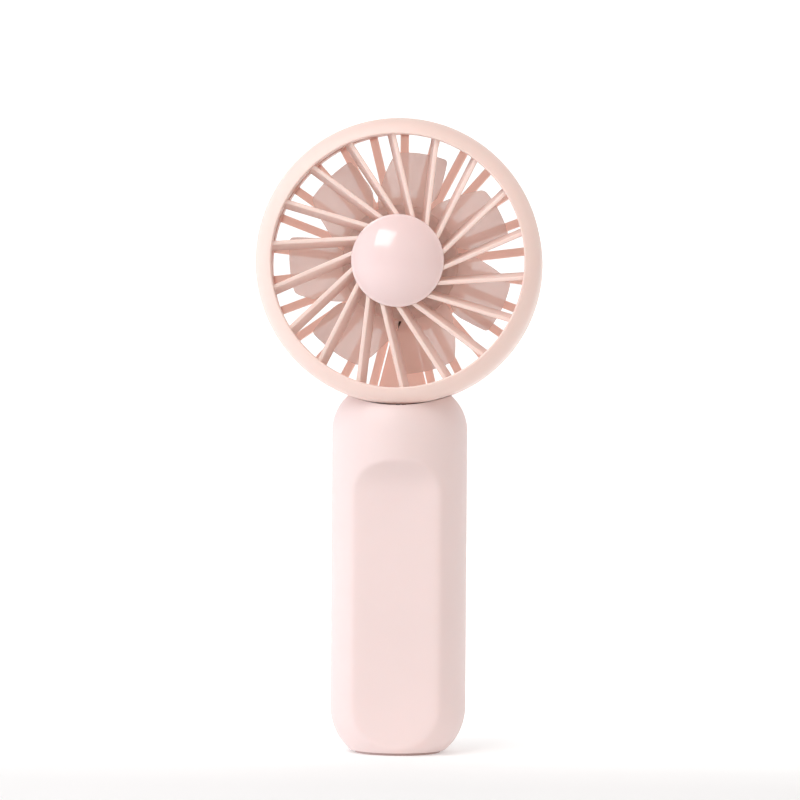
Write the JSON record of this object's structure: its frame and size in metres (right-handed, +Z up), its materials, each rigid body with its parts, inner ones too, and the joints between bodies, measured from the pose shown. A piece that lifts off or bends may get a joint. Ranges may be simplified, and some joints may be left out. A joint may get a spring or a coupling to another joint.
{
  "type": "handheld electric fan",
  "caption": "Pocket fan with a round caged head, a glossy centre dome and a thick round handle that stands upright on its flat base.",
  "frame": {"origin": "centre of the foot pad's underside, on the handle's axis", "axes": "+Z up along the handle to the head; -Y is the way the air leaves, through the front grille; +X is on the right when the front is looked at; the fan's axis lies along Y"},
  "size_m": [0.0836, 0.0458, 0.1863],
  "materials": {
    "shell_plastic": "fine satin texture",
    "grille_plastic": "fine satin texture",
    "dome_gloss": "polished",
    "blade_plastic": "smooth, slightly translucent",
    "inner_plastic": "plain moulded",
    "foot_rubber": "matt",
    "screw_steel": "zinc plated",
    "motor_steel": "plated",
    "bush_bronze": "sintered",
    "coil_copper": "enamelled wire",
    "magnet": "bonded ferrite",
    "clip_steel": "blackened",
    "circuit_board": "solder mask",
    "cell_wrap": null,
    "tab_nickel": "nickel strip",
    "foam": "closed-cell foam",
    "dark_plastic": "moulded",
    "port_steel": "stainless",
    "plunger_plastic": "moulded",
    "led_lens": "clear",
    "wire_red": "PVC",
    "wire_black": "PVC"
  },
  "bodies": {
    "fan_body": {"front_grille": "grille_plastic", "dome_cap": "dome_gloss", "drum_housing": "shell_plastic", "rear_grille": "grille_plastic", "rear_screws": "screw_steel", "duct_cover": "grille_plastic", "motor_mount": "motor_steel", "motor_mount_screws": "screw_steel", "rear_bush": "bush_bronze", "front_bush": "bush_bronze", "stator_core": "motor_steel", "stator_windings": "coil_copper", "motor_board": "circuit_board", "neck_plate": "inner_plastic", "neck_screws": "screw_steel", "handle_front_shell": "shell_plastic", "handle_rear_shell": "shell_plastic", "base_plate": "inner_plastic", "base_screws": "screw_steel", "foot_pad": "foot_rubber", "battery_cell": "cell_wrap", "battery_tabs": "tab_nickel", "battery_foam": "foam", "main_board": "circuit_board", "board_screws": "screw_steel", "board_chips": "dark_plastic", "board_inductor": "dark_plastic", "usb_c_socket": "port_steel", "usb_c_tongue": "dark_plastic", "switch_body": "dark_plastic", "indicator_leds": "led_lens", "light_guide": "led_lens", "battery_wire_red": "wire_red", "battery_wire_black": "wire_black", "motor_wire_red": "wire_red", "motor_wire_black": "wire_black"},
    "rotor": {"impeller": "blade_plastic", "rotor_cup": "motor_steel", "magnet_ring": "magnet", "motor_shaft": "motor_steel", "shaft_clip": "clip_steel"},
    "button": {"power_button": "shell_plastic", "switch_plunger": "plunger_plastic"}
  },
  "joints": [
    {"name": "impeller_spin", "type": "hinge", "parent": "fan_body", "child": "rotor", "pos_m": [0, 0, 0.1445], "axis": [0, -1, 0], "continuous": true},
    {"name": "power_button_press", "type": "slide", "parent": "fan_body", "child": "button", "axis": [0, -1, 0], "range_m": [0, 0.0004], "stiffness_N_per_m": 2000}
  ]
}
